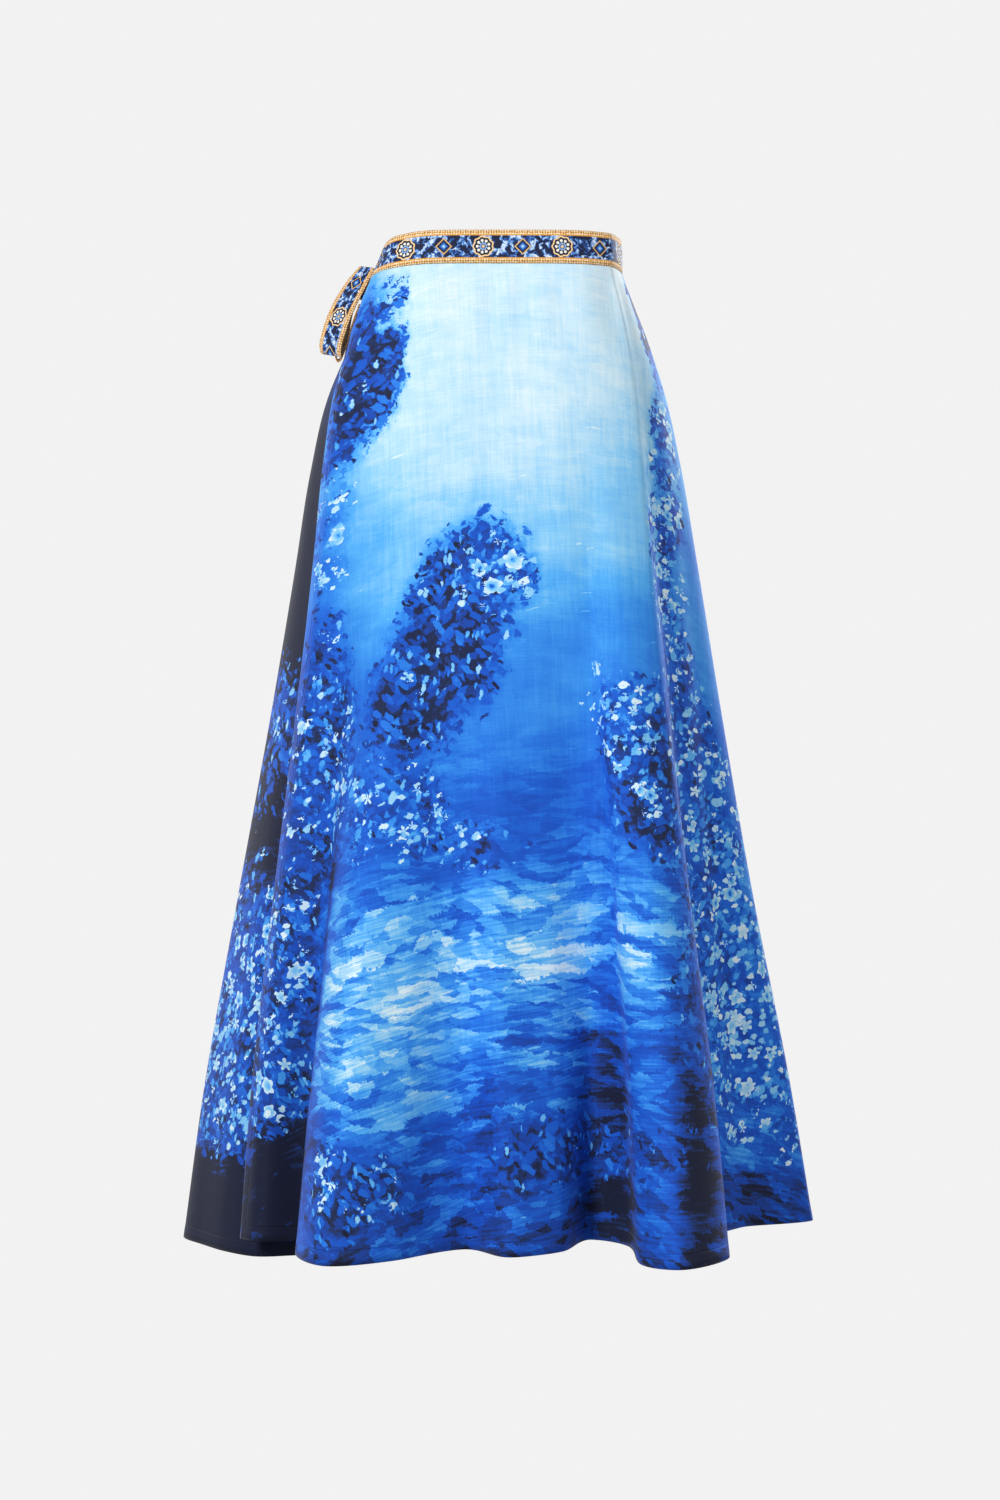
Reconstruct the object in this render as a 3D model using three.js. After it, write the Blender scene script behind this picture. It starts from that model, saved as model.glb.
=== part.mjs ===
// Long flared wrap skirt whose waistband ends in a bow on the left hip.
// It hangs as it is worn, around a hollow, with the waist and the hem open.
// Millimetres, +Z up, +X to the right of the photograph, the front faces -Y.
// The origin is the centre of the waist opening, half way up the waistband.
// A turn is an angle around the skirt in degrees: 0 is the left hip, 90 the front,
// 180 the right hip, 270 the back and 360 the left hip again, under the front.
import * as THREE from 'three';

// Cloth
const CLOTH = 1.2;
const BAND_CLOTH = 2.2;
const RIBBON_CLOTH = 1.8;
const GAP = 0.3;
const BAND_WIDTH = 34;

// Hang of the skirt
const SKIRT_TOP = -BAND_WIDTH / 2 - GAP;
const SKIRT_LENGTH = 987;
const HIP_DIP = { depth: 8, width: 55, fade: 3 };
const BAND_LEAN = { hip: 17, elsewhere: 1 };
const UNDERLAP = { step: 3.4, from: 335, to: 362 };
const FORM = { power: 2.1, frontFlatness: 2.1, backFlatness: 0.35, flatnessFade: 10 };
const FOLD_SWING = 1.5;
const FOLD_SPACING = { hipAt: 0.35, hipWeight: 0.8, hemWeight: 0.6 };

// Mesh density
const LEVELS = 14;
const LEVEL_CROWDING = 1.35;
const COLUMNS = { frontWrap: 62, back: 56, frontUnder: 30, waistband: 96 };

const CLOTH_COLOUR = 0x2f6fc4;
const PRINT_COLOUR = 0x2b3a63;
const ROUGHNESS = 0.85;

const table = (names, rows) => rows.map(
  (row) => Object.fromEntries(names.map((name, i) => [name, row[i]])),
);

// Unfolded shape: half widths to the four sides, at a share of the way down
const SECTIONS = table(['down', 'left', 'right', 'front', 'back'], [
  [0.00, 135, 126, 86, 86],
  [0.03, 146, 137, 92, 94],
  [0.07, 162, 153, 99, 105],
  [0.12, 183, 170, 107, 118],
  [0.20, 202, 188, 117, 132],
  [0.30, 218, 205, 129, 144],
  [0.45, 243, 229, 148, 163],
  [0.65, 279, 263, 173, 190],
  [0.85, 314, 303, 199, 217],
  [1.00, 334, 329, 215, 236],
]);

// Folds, one row for each ridge, hollow or turn of the cloth, around the skirt:
// turn at the waist, x and y at the hem, share of the way down where the fold
// starts, its pace (below 1 it opens early), and how far its hem hangs below the rest
const FOLD_COLUMNS = ['turn', 'x', 'y', 'start', 'pace', 'drop'];
const FRONT_WRAP = table(FOLD_COLUMNS, [
  [13, -263, -84, 0.06, 0.50, 0],
  [20, -239, -112, 0.04, 0.80, -2],
  [31, -188, -104, 0.06, 1.15, 0],
  [40, -201, -158, 0.08, 1.15, 0],
  [50, -168, -240, 0.12, 1.15, 0],
  [62, -104, -212, 0.18, 1.15, 0],
  [76, -32, -146, 0.42, 1.15, 0],
  [88, 8, -192, 0.42, 1.15, 0],
  [102, 60, -160, 0.34, 1.15, 0],
  [117, 92, -113, 0.30, 1.15, -4],
  [124, 125, -152, 0.28, 1.15, -4],
  [130, 138, -216, 0.22, 1.15, 3],
  [136, 168, -250, 0.16, 1.15, 2],
  [146, 220, -196, 0.05, 1.15, 1],
  [154, 218, -66, 0.03, 1.15, 0],
  [166, 250, -16, 0.03, 1.15, 0],
  [180, 328, 30, 0.03, 1.15, 0],
]);
const BACK = table(FOLD_COLUMNS, [
  [192, 282, 104, 0.10, 1.15, 0],
  [204, 268, 178, 0.10, 1.15, 0],
  [217, 176, 172, 0.20, 1.15, 0],
  [230, 156, 244, 0.20, 1.15, 0],
  [244, 86, 196, 0.30, 1.15, 0],
  [257, 52, 258, 0.30, 1.15, 0],
  [271, -14, 190, 0.35, 1.15, 0],
  [284, -58, 256, 0.30, 1.15, 0],
  [298, -112, 188, 0.25, 1.15, 4],
  [311, -176, 232, 0.18, 1.15, 10],
  [325, -206, 150, 0.12, 1.15, 16],
  [339, -294, 140, 0.06, 1.15, 20],
  [352, -336, 62, 0.03, 1.15, 22],
]);
const FRONT_UNDER = table(FOLD_COLUMNS, [
  [360, -313, 14, 0.03, 0.80, 22],
  [368, -284, -28, 0.00, 0.60, 22],
  [377, -249, -62, 0.00, 0.60, 22],
  [386, -213, -57, 0.00, 0.70, 22],
  [398, -160, -78, 0.00, 0.90, 16],
  [414, -104, -98, 0.00, 0.90, 10],
  [432, -46, -90, 0.00, 0.90, 6],
  [450, 14, -102, 0.00, 0.90, 4],
  [466, 60, -90, 0.00, 0.90, 4],
]);
const FOLDS = [...FRONT_WRAP, ...BACK, ...FRONT_UNDER];
const RIGHT_SEAM = FRONT_WRAP.length - 1;
const LEFT_SEAM = RIGHT_SEAM + BACK.length;
const LAST_FOLD = FOLDS.length - 1;

// Ribbon loops of the bow, one row for each station along the ribbon: its centre,
// the swing of its width from straight ahead towards the right, and its width
const STATION_COLUMNS = ['x', 'y', 'z', 'swing', 'width'];
const LOOP_RISE = -0.2;
const LOOP_STEPS = 3;
const LOOK_AHEAD = 0.05;
const FRONT_LOOP = table(STATION_COLUMNS, [
  [-138.2, -4, -7.5, 48, 22],
  [-150, -6, -26, 48, 31],
  [-163, -8, -50, 48, 34],
  [-171, -10, -71, 48, 34],
  [-176, -10, -90, 46, 34],
  [-175, -8, -99, 42, 34],
  [-171, -3, -91, 36, 34],
  [-164, 4, -72, 26, 34],
  [-156.5, 7, -52, 14, 32],
  [-148.5, 7.4, -36.5, 8, 26],
]);
const BACK_LOOP = table(STATION_COLUMNS, [
  [-147, 45.5, -26, 0, 22],
  [-161, 50, -44, 0, 30],
  [-170, 49, -66, 0, 34],
  [-174, 46, -88, 2, 34],
  [-171.5, 45, -98, 4, 34],
  [-166, 46, -91, 2, 34],
  [-159.5, 49, -70, 0, 33],
  [-153, 49, -50, 0, 28],
  [-148.5, 48, -38, 0, 22],
]);
const KNOT = { centre: [-142.4, 21, -24], half: [8.5, 13, 14], roundness: 0.75, slices: 20, rings: 12 };
const ENDS = { topTurn: 350, belowKnot: 5, settled: 0.5, levels: 14, across: 4 };
const LONG_END = { length: 300, turn: 341, lift: 2.6 };
const SHORT_END = { length: 255, turn: 331, lift: 6.2 };

const radians = (degrees) => degrees * Math.PI / 180;
const clamp = (value) => Math.min(1, Math.max(0, value));
const ease = (value) => clamp(value) ** 2 * (3 - 2 * clamp(value));
const mix = (a, b, share) => a + (b - a) * share;
const span = (count) => Array.from({ length: count + 1 }, (_, i) => i / count);

// Smooth curve through the values at the given stops
function spline(stops, values, at) {
  const last = stops.length - 1;
  const width = stops.slice(1).map((stop, i) => stop - stops[i]);
  const chord = width.map((w, i) => (values[i + 1] - values[i]) / w);
  const slope = (i) => {
    if (i === 0) return chord[0];
    if (i === last) return chord[last - 1];
    return (chord[i] * width[i - 1] + chord[i - 1] * width[i]) / (width[i] + width[i - 1]);
  };
  const found = stops.findIndex((stop) => stop > at);
  const i = (found === -1 ? last : Math.max(found, 1)) - 1;
  const s = (at - stops[i]) / width[i];
  const rise = (1 - s) ** 2 * s * width[i] * slope(i) - s * s * (1 - s) * width[i] * slope(i + 1);
  return mix(values[i], values[i + 1], s * s * (3 - 2 * s)) + rise;
}

// Share of the left hip's dip at a turn: 1 on the hip, 0 away from it
const nearHip = (turn) => ease(1 - Math.abs(((turn + 180) % 360) - 180) / HIP_DIP.width);

// Distance from the axis to the unfolded skirt, whose rings are rounded boxes,
// flattest at the waist and nearly round below
function formRadius(turn, down) {
  const side = (name) => spline(SECTIONS.map((row) => row.down), SECTIONS.map((row) => row[name]), down);
  const c = Math.cos(radians(turn));
  const s = Math.sin(radians(turn));
  const across = mix(side('right'), side('left'), (1 + c) / 2);
  const deep = mix(side('back'), side('front'), (1 + s) / 2);
  const flatness = s > 0 ? FORM.frontFlatness : FORM.backFlatness;
  const power = FORM.power + flatness * Math.exp(-FORM.flatnessFade * down) * Math.sqrt(Math.abs(s));
  return (Math.abs(c / across) ** power + Math.abs(s / deep) ** power) ** (-1 / power);
}

// Point of one fold line at a share of the way down
function foldPoint(fold, down) {
  const towards = THREE.MathUtils.radToDeg(Math.atan2(-fold.y, -fold.x));
  const hemTurn = towards + 360 * Math.round((fold.turn - towards) / 360);
  const reach = Math.hypot(fold.x, fold.y) / formRadius(hemTurn, 1);
  const turn = mix(fold.turn, hemTurn, down ** FOLD_SWING);
  const opened = clamp((down - fold.start) / (1 - fold.start)) ** fold.pace;
  const step = UNDERLAP.step * ease((fold.turn - UNDERLAP.from) / (UNDERLAP.to - UNDERLAP.from));
  const radius = formRadius(turn, down) * mix(1, reach, opened) - step * (1 - down);
  const dip = HIP_DIP.depth * nearHip(fold.turn) * (1 - down) ** HIP_DIP.fade;
  const z = SKIRT_TOP - down * SKIRT_LENGTH - fold.drop * down ** 2 - dip;
  return [-radius * Math.cos(radians(turn)), -radius * Math.sin(radians(turn)), z];
}

// Stops of the fold lines along the cloth, from their distances at the hem and the hips
function foldStops() {
  const points = (down) => FOLDS.map((fold) => new THREE.Vector3(...foldPoint(fold, down)));
  const hem = points(1);
  const hip = points(FOLD_SPACING.hipAt);
  const stops = [0];
  for (let i = 1; i < FOLDS.length; i += 1) {
    const atHem = hem[i].distanceTo(hem[i - 1]);
    const atHip = hip[i].distanceTo(hip[i - 1]);
    stops.push(stops[i - 1] + FOLD_SPACING.hemWeight * atHem + FOLD_SPACING.hipWeight * atHip);
  }
  return stops;
}
const FOLD_STOPS = foldStops();

// Level ring of the cloth: a function from a stop to the point there
function ring(down) {
  const points = FOLDS.map((fold) => foldPoint(fold, down));
  const axes = [0, 1, 2].map((axis) => points.map((point) => point[axis]));
  return (stop) => new THREE.Vector3(...axes.map((values) => spline(FOLD_STOPS, values, stop)));
}

// Level direction straight out of the cloth
function outward(level, stop) {
  const along = level(stop + 1).sub(level(stop - 1)).setZ(0).normalize();
  return new THREE.Vector3(along.y, -along.x, 0);
}

// Closed solid through loops of points, each loop being the outer face of a strip
// and then its inner face back again
function loft(loops) {
  const size = loops[0].length;
  const half = size / 2;
  const end = (loops.length - 1) * size;
  const index = [];
  const quad = (a, b, c, d) => index.push(a, b, c, a, c, d);
  for (let row = 0; row < end; row += size) {
    for (let i = 0; i < size; i += 1) {
      const next = (i + 1) % size;
      quad(row + i, row + size + i, row + size + next, row + next);
    }
  }
  for (let i = 0; i < half - 1; i += 1) {
    const across = size - 1 - i;
    quad(i, i + 1, across - 1, across);
    quad(end + across, end + across - 1, end + i + 1, end + i);
  }
  const geometry = new THREE.BufferGeometry();
  const positions = loops.flat().flatMap((point) => point.toArray());
  geometry.setAttribute('position', new THREE.Float32BufferAttribute(positions, 3));
  geometry.setIndex(index);
  geometry.computeVertexNormals();
  return geometry;
}

// Strip outline of the given thickness around points with outward directions
function strip(points, directions, thickness) {
  const offset = (side) => points.map(
    (point, i) => point.clone().addScaledVector(directions[i], side * thickness / 2),
  );
  return [...offset(1), ...offset(-1).reverse()];
}

// Skirt panel between two fold lines, half a gap short of a seam at either end
function panel(from, to, columns) {
  const first = FOLD_STOPS[from];
  const last = FOLD_STOPS[to];
  return loft(span(LEVELS).map((share) => {
    const level = ring(share ** LEVEL_CROWDING);
    const stops = span(columns).map((column) => mix(first, last, column));
    const directions = stops.map((stop) => outward(level, stop));
    const points = stops.map(level);
    const trim = (i, side) => {
      const along = new THREE.Vector3(-directions[i].y, directions[i].x, 0);
      points[i].addScaledVector(along, side * GAP / 2);
    };
    trim(0, 1);
    trim(columns, -1);
    return strip(points, directions, CLOTH);
  }));
}

// Waistband: once round above the panels and on above the underlap
function waistband() {
  const level = ring(0);
  const turns = FOLDS.map((fold) => fold.turn);
  const stops = span(COLUMNS.waistband).map((share) => share * FOLD_STOPS[LAST_FOLD]);
  const directions = stops.map((stop) => outward(level, stop));
  const edge = (side) => stops.map((stop, i) => {
    const turn = spline(FOLD_STOPS, turns, stop);
    const lean = mix(BAND_LEAN.elsewhere, BAND_LEAN.hip, nearHip(turn));
    const height = Math.sqrt(BAND_WIDTH ** 2 - lean ** 2);
    const point = level(stop).addScaledVector(directions[i], -side * lean);
    point.z += GAP + side * height;
    return point;
  });
  return loft([1, 0.5, 0].map((side) => strip(edge(side), directions, BAND_CLOTH)));
}

// Ribbon through the stations of a loop
function ribbon(stations) {
  const stops = stations.map((_, i) => i);
  const at = (name, stop) => spline(stops, stations.map((station) => station[name]), stop);
  const centre = (stop) => new THREE.Vector3(at('x', stop), at('y', stop), at('z', stop));
  return loft(span(LOOP_STEPS * stops.at(-1)).map((share) => {
    const stop = share * stops.at(-1);
    const swing = radians(at('swing', stop));
    const across = new THREE.Vector3(Math.sin(swing), -Math.cos(swing), LOOP_RISE).normalize();
    const along = centre(stop + LOOK_AHEAD).sub(centre(stop - LOOK_AHEAD));
    const out = along.cross(across).normalize();
    const width = at('width', stop);
    const points = [-0.5, 0, 0.5].map((side) => centre(stop).addScaledVector(across, side * width));
    return strip(points, points.map(() => out), RIBBON_CLOTH);
  }));
}

// Loose ribbon end that hangs from the knot over the back of the skirt
function looseEnd(end) {
  const knotBottom = KNOT.centre[2] - KNOT.half[2];
  const turns = FOLDS.map((fold) => fold.turn);
  return loft(span(ENDS.levels).map((share) => {
    const z = knotBottom - ENDS.belowKnot - share * end.length;
    const level = ring((SKIRT_TOP - z) / SKIRT_LENGTH);
    const turn = mix(ENDS.topTurn, end.turn, ease(share / ENDS.settled));
    const middle = spline(turns, FOLD_STOPS, turn);
    const perStop = level(middle + 1).distanceTo(level(middle - 1)) / 2;
    const stops = span(ENDS.across).map((side) => middle + (side - 0.5) * BAND_WIDTH / perStop);
    const directions = stops.map((stop) => outward(level, stop));
    const points = stops.map((stop, i) => level(stop).addScaledVector(directions[i], end.lift));
    return strip(points, directions, RIBBON_CLOTH);
  }));
}

// Wrapped knot: a rounded block
function knot() {
  const geometry = new THREE.SphereGeometry(1, KNOT.slices, KNOT.rings);
  const position = geometry.getAttribute('position');
  for (let i = 0; i < position.count; i += 1) {
    const point = [position.getX(i), position.getY(i), position.getZ(i)].map(
      (value, axis) => KNOT.centre[axis]
        + KNOT.half[axis] * Math.sign(value) * Math.abs(value) ** KNOT.roundness,
    );
    position.setXYZ(i, ...point);
  }
  return geometry;
}

// Named cloth solid
function cloth(name, geometry, colour) {
  const material = new THREE.MeshStandardMaterial({ color: colour, roughness: ROUGHNESS, metalness: 0 });
  const mesh = new THREE.Mesh(geometry, material);
  mesh.name = name;
  return mesh;
}

const skirt = new THREE.Group();
skirt.name = 'wrap_skirt';
skirt.add(
  cloth('front_wrap', panel(0, RIGHT_SEAM, COLUMNS.frontWrap), CLOTH_COLOUR),
  cloth('back_panel', panel(RIGHT_SEAM, LEFT_SEAM, COLUMNS.back), CLOTH_COLOUR),
  cloth('front_under', panel(LEFT_SEAM, LAST_FOLD, COLUMNS.frontUnder), CLOTH_COLOUR),
  cloth('waistband', waistband(), PRINT_COLOUR),
  cloth('tie_knot', knot(), PRINT_COLOUR),
  cloth('tie_loop_front', ribbon(FRONT_LOOP), PRINT_COLOUR),
  cloth('tie_loop_back', ribbon(BACK_LOOP), PRINT_COLOUR),
  cloth('tie_end_long', looseEnd(LONG_END), PRINT_COLOUR),
  cloth('tie_end_short', looseEnd(SHORT_END), PRINT_COLOUR),
);

export default skirt;
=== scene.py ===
"""Looks of the long wrap skirt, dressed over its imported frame.

The cloth repeats the part's own rule: a table of sections gives the unfolded shape
and a table of folds bends it. Sizes in the tables are millimetres, everything that
Blender gets is metres. A turn is degrees round the skirt: 0 left hip, 90 front,
180 right hip, 270 back, 360 left hip again under the front.
"""
import math

import bpy
import numpy as np
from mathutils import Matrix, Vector


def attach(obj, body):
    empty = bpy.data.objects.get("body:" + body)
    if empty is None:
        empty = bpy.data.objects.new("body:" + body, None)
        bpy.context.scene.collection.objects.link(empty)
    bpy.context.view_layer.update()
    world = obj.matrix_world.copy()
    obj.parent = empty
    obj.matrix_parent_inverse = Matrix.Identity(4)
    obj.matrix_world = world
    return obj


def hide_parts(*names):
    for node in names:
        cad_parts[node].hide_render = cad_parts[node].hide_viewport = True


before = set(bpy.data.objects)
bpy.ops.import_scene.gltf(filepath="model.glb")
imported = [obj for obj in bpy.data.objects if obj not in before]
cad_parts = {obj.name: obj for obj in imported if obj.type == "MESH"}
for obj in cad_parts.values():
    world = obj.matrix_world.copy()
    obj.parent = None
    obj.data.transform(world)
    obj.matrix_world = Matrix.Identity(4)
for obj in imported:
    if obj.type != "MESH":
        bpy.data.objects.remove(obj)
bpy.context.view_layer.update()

MM = 0.001

# Cloth
SHOWN_CLOTH = 0.7
BAND_CLOTH = 2.2
RIBBON_CLOTH = 1.8
RIBBON_EDGE = {"thinning": 0.85, "sharpness": 10}
GAP = 0.3
BAND_WIDTH = 34.0
HEM_FOLD = 14.0
HEM_THICKENING = {"more": 0.8, "over": 2}

# Hang of the skirt
SKIRT_TOP = -BAND_WIDTH / 2 - GAP
SKIRT_LENGTH = 987.0
HIP_DIP = {"depth": 8.0, "width": 55.0, "fade": 3}
BAND_LEAN = {"hip": 17.0, "elsewhere": 1.0}
UNDERLAP = {"step": 3.4, "from": 335.0, "to": 362.0}
FORM = {"power": 2.1, "front_flatness": 2.1, "back_flatness": 0.35, "flatness_fade": 10}
FOLD_SWING = 1.5
FOLD_SPACING = {"hip_at": 0.35, "hip_weight": 0.8, "hem_weight": 0.6}

# Small creases, heights in millimetres outward
RIPPLE = {"rate": 0.055, "sway": 1.3, "sway_rate": 0.013, "growth": 40}
BAND_RIPPLE = {"height": 0.7, "at": 0.035, "reach": 0.05}
EVEN_RIPPLE = {"height": 0.35, "growth": 3}
LOW_RIPPLE = {"height": 1.6, "from": 0.25, "over": 0.5, "rate": 0.021, "shift": 0.7}
PULLS = {"height": 1.5, "reach": 100.0, "start": 25.0, "rays": 10.0, "shift": 0.6}
PULLS_SPREAD = {"mm_per_stop": 0.3, "widening": 0.9}

# Mesh density
LEVELS = 168
LEVEL_CROWDING = 1.25
COLUMNS = {"front_wrap": 260, "back": 240, "front_under": 110, "waistband": 560}
ACROSS = {"waistband": 13, "ribbon": 9}
LOOP_STEPS = 10
END_ROWS = 60
LOOK_AHEAD = 0.05

# Photograph: a level camera in line with the middle of the picture
CAMERA_DISTANCE = 3.0
CAMERA_HEIGHT = -0.5096
FOCAL_PIXELS = 2880.0
PHOTO_LONG_SIDE = 1500.0
SENSOR = 36.0

# Studio. Lights: place, target, width, power
LIGHTS = {
    "key": ((-2.6, -3.1, 1.3), (0, 0, -0.5), 1.2, 150),
    "fill": ((2.8, -3.0, -0.1), (0, 0, -0.6), 2.0, 52),
    "back_key": ((2.4, 3.2, 1.2), (0, 0, -0.5), 1.6, 150),
    "back_fill": ((-2.8, 2.8, 0.0), (0, 0, -0.6), 2.0, 50),
}
PAPER = "f2f2f2"
AIR_STRENGTH = 0.30
DOME = {"floor": -2.2, "reach": 14.0, "bend": 4.0, "top": 14.0, "pole": 0.01, "sides": 64, "steps": 12}

# Unfolded shape: share of the way down, half widths to left, right, front, back
SECTIONS = np.array([
    (0.00, 135, 126, 86, 86),
    (0.03, 146, 137, 92, 94),
    (0.07, 162, 153, 99, 105),
    (0.12, 183, 170, 107, 118),
    (0.20, 202, 188, 117, 132),
    (0.30, 218, 205, 129, 144),
    (0.45, 243, 229, 148, 163),
    (0.65, 279, 263, 173, 190),
    (0.85, 314, 303, 199, 217),
    (1.00, 334, 329, 215, 236),
], float)

# Folds: turn at the waist, x and y at the hem, start, pace, drop of the hem
FRONT_WRAP = [
    (13, -263, -84, 0.06, 0.50, 0),
    (20, -239, -112, 0.04, 0.80, -2),
    (31, -188, -104, 0.06, 1.15, 0),
    (40, -201, -158, 0.08, 1.15, 0),
    (50, -168, -240, 0.12, 1.15, 0),
    (62, -104, -212, 0.18, 1.15, 0),
    (76, -32, -146, 0.42, 1.15, 0),
    (88, 8, -192, 0.42, 1.15, 0),
    (102, 60, -160, 0.34, 1.15, 0),
    (117, 92, -113, 0.30, 1.15, -4),
    (124, 125, -152, 0.28, 1.15, -4),
    (130, 138, -216, 0.22, 1.15, 3),
    (136, 168, -250, 0.16, 1.15, 2),
    (146, 220, -196, 0.05, 1.15, 1),
    (154, 218, -66, 0.03, 1.15, 0),
    (166, 250, -16, 0.03, 1.15, 0),
    (180, 328, 30, 0.03, 1.15, 0),
]
BACK = [
    (192, 282, 104, 0.10, 1.15, 0),
    (204, 268, 178, 0.10, 1.15, 0),
    (217, 176, 172, 0.20, 1.15, 0),
    (230, 156, 244, 0.20, 1.15, 0),
    (244, 86, 196, 0.30, 1.15, 0),
    (257, 52, 258, 0.30, 1.15, 0),
    (271, -14, 190, 0.35, 1.15, 0),
    (284, -58, 256, 0.30, 1.15, 0),
    (298, -112, 188, 0.25, 1.15, 4),
    (311, -176, 232, 0.18, 1.15, 10),
    (325, -206, 150, 0.12, 1.15, 16),
    (339, -294, 140, 0.06, 1.15, 20),
    (352, -336, 62, 0.03, 1.15, 22),
]
FRONT_UNDER = [
    (360, -313, 14, 0.03, 0.80, 22),
    (368, -284, -28, 0.00, 0.60, 22),
    (377, -249, -62, 0.00, 0.60, 22),
    (386, -213, -57, 0.00, 0.70, 22),
    (398, -160, -78, 0.00, 0.90, 16),
    (414, -104, -98, 0.00, 0.90, 10),
    (432, -46, -90, 0.00, 0.90, 6),
    (450, 14, -102, 0.00, 0.90, 4),
    (466, 60, -90, 0.00, 0.90, 4),
]
FOLDS = np.array(FRONT_WRAP + BACK + FRONT_UNDER, float)
TURN, HEM_X, HEM_Y, START, PACE, DROP = FOLDS.T
RIGHT_SEAM = len(FRONT_WRAP) - 1
LEFT_SEAM = RIGHT_SEAM + len(BACK)
LAST_FOLD = len(FOLDS) - 1

# Ribbon stations: centre x, y, z, swing of the width to the right, width
FRONT_LOOP = [
    (-138.2, -4, -7.5, 48, 22),
    (-150, -6, -26, 48, 31),
    (-163, -8, -50, 48, 34),
    (-171, -10, -71, 48, 34),
    (-176, -10, -90, 46, 34),
    (-175, -8, -99, 42, 34),
    (-171, -3, -91, 36, 34),
    (-164, 4, -72, 26, 34),
    (-156.5, 7, -52, 14, 32),
    (-148.5, 7.4, -36.5, 8, 26),
]
BACK_LOOP = [
    (-147, 45.5, -26, 0, 22),
    (-161, 50, -44, 0, 30),
    (-170, 49, -66, 0, 34),
    (-174, 46, -88, 2, 34),
    (-171.5, 45, -98, 4, 34),
    (-166, 46, -91, 2, 34),
    (-159.5, 49, -70, 0, 33),
    (-153, 49, -50, 0, 28),
    (-148.5, 48, -38, 0, 22),
]
LOOP_RISE = -0.2
KNOT_CENTRE = np.array([-142.4, 21.0, -24.0])
KNOT_HALF = np.array([8.5, 13.0, 14.0])
KNOT_ROUNDNESS = 0.75
KNOT_WRAP = {"depth": 0.05, "rate": 5, "slant": 1.5}
KNOT_MESH = {"slices": 72, "rings": 48, "pole": 0.02}
ENDS = {"top_turn": 350.0, "below_knot": 5.0, "settled": 0.5}

# Loose ends: length, turn where they settle, distance from the cloth
LONG_END = (300.0, 341.0, 2.6)
SHORT_END = (255.0, 331.0, 6.2)

# Print, and a few patches of painted shade in the tables below. Tone runs from 0, near black, to 1, near
# white, and changes down the skirt
TONE_DOWN = [0.00, 0.12, 0.24, 0.36, 0.48, 0.56, 0.68, 0.78, 0.88, 1.00]
TONE = [0.95, 0.93, 0.83, 0.68, 0.53, 0.45, 0.60, 0.52, 0.40, 0.28]

# Patches of lighter or darker tone, print and some painted shade: place across and down, reach across and
# down, change
FRONT_TONES = [
    (0.03, 0.08, 0.06, 0.10, -0.35),
    (0.03, 0.45, 0.05, 0.30, -0.22),
    (0.06, 0.78, 0.07, 0.20, -0.16),
    (0.26, 0.30, 0.07, 0.10, 0.03),
    (0.52, 0.70, 0.12, 0.06, 0.20),
    (0.27, 0.78, 0.09, 0.08, 0.28),
    # Two narrow dark strips along the fold valley at the left: dark print and painted shade of the fold
    (0.13, 0.62, 0.020, 0.14, -0.30),
    (0.12, 0.86, 0.028, 0.15, -0.48),
    (0.05, 0.71, 0.040, 0.05, -0.25),
    (0.05, 0.95, 0.070, 0.07, -0.45),
    # Along the valley of the fold at turn 117: dark print and painted shade of the fold
    (0.58, 0.85, 0.045, 0.18, -0.34),
    (0.71, 0.92, 0.030, 0.14, -0.45),
    (0.80, 0.50, 0.060, 0.16, -0.14),
    (0.92, 0.62, 0.060, 0.20, 0.10),
    (0.90, 0.98, 0.100, 0.04, -0.12),
    (0.97, 0.22, 0.060, 0.16, -0.20),
]
BACK_TONES = [
    (0.12, 0.30, 0.10, 0.20, -0.22),
    (0.40, 0.45, 0.12, 0.10, -0.16),
    (0.62, 0.66, 0.14, 0.08, 0.24),
    (0.30, 0.78, 0.12, 0.10, 0.22),
    (0.82, 0.30, 0.10, 0.18, -0.20),
    # Near black by the left hip, beside the front wrap's free edge: painted shade of the fold there
    (0.98, 0.20, 0.10, 0.30, -0.85),
    (0.97, 0.62, 0.12, 0.30, -0.45),
    (0.95, 0.97, 0.14, 0.06, -0.55),
]
UNDER_TONES = [
    # Near black over the top of the underlap, beside and under the front wrap's free edge: painted shade of
    # the fold there
    (0.10, 0.20, 0.40, 0.30, -0.85),
    (0.10, 0.62, 0.40, 0.35, -0.35),
    (0.20, 0.97, 0.50, 0.06, -0.50),
]

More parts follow.
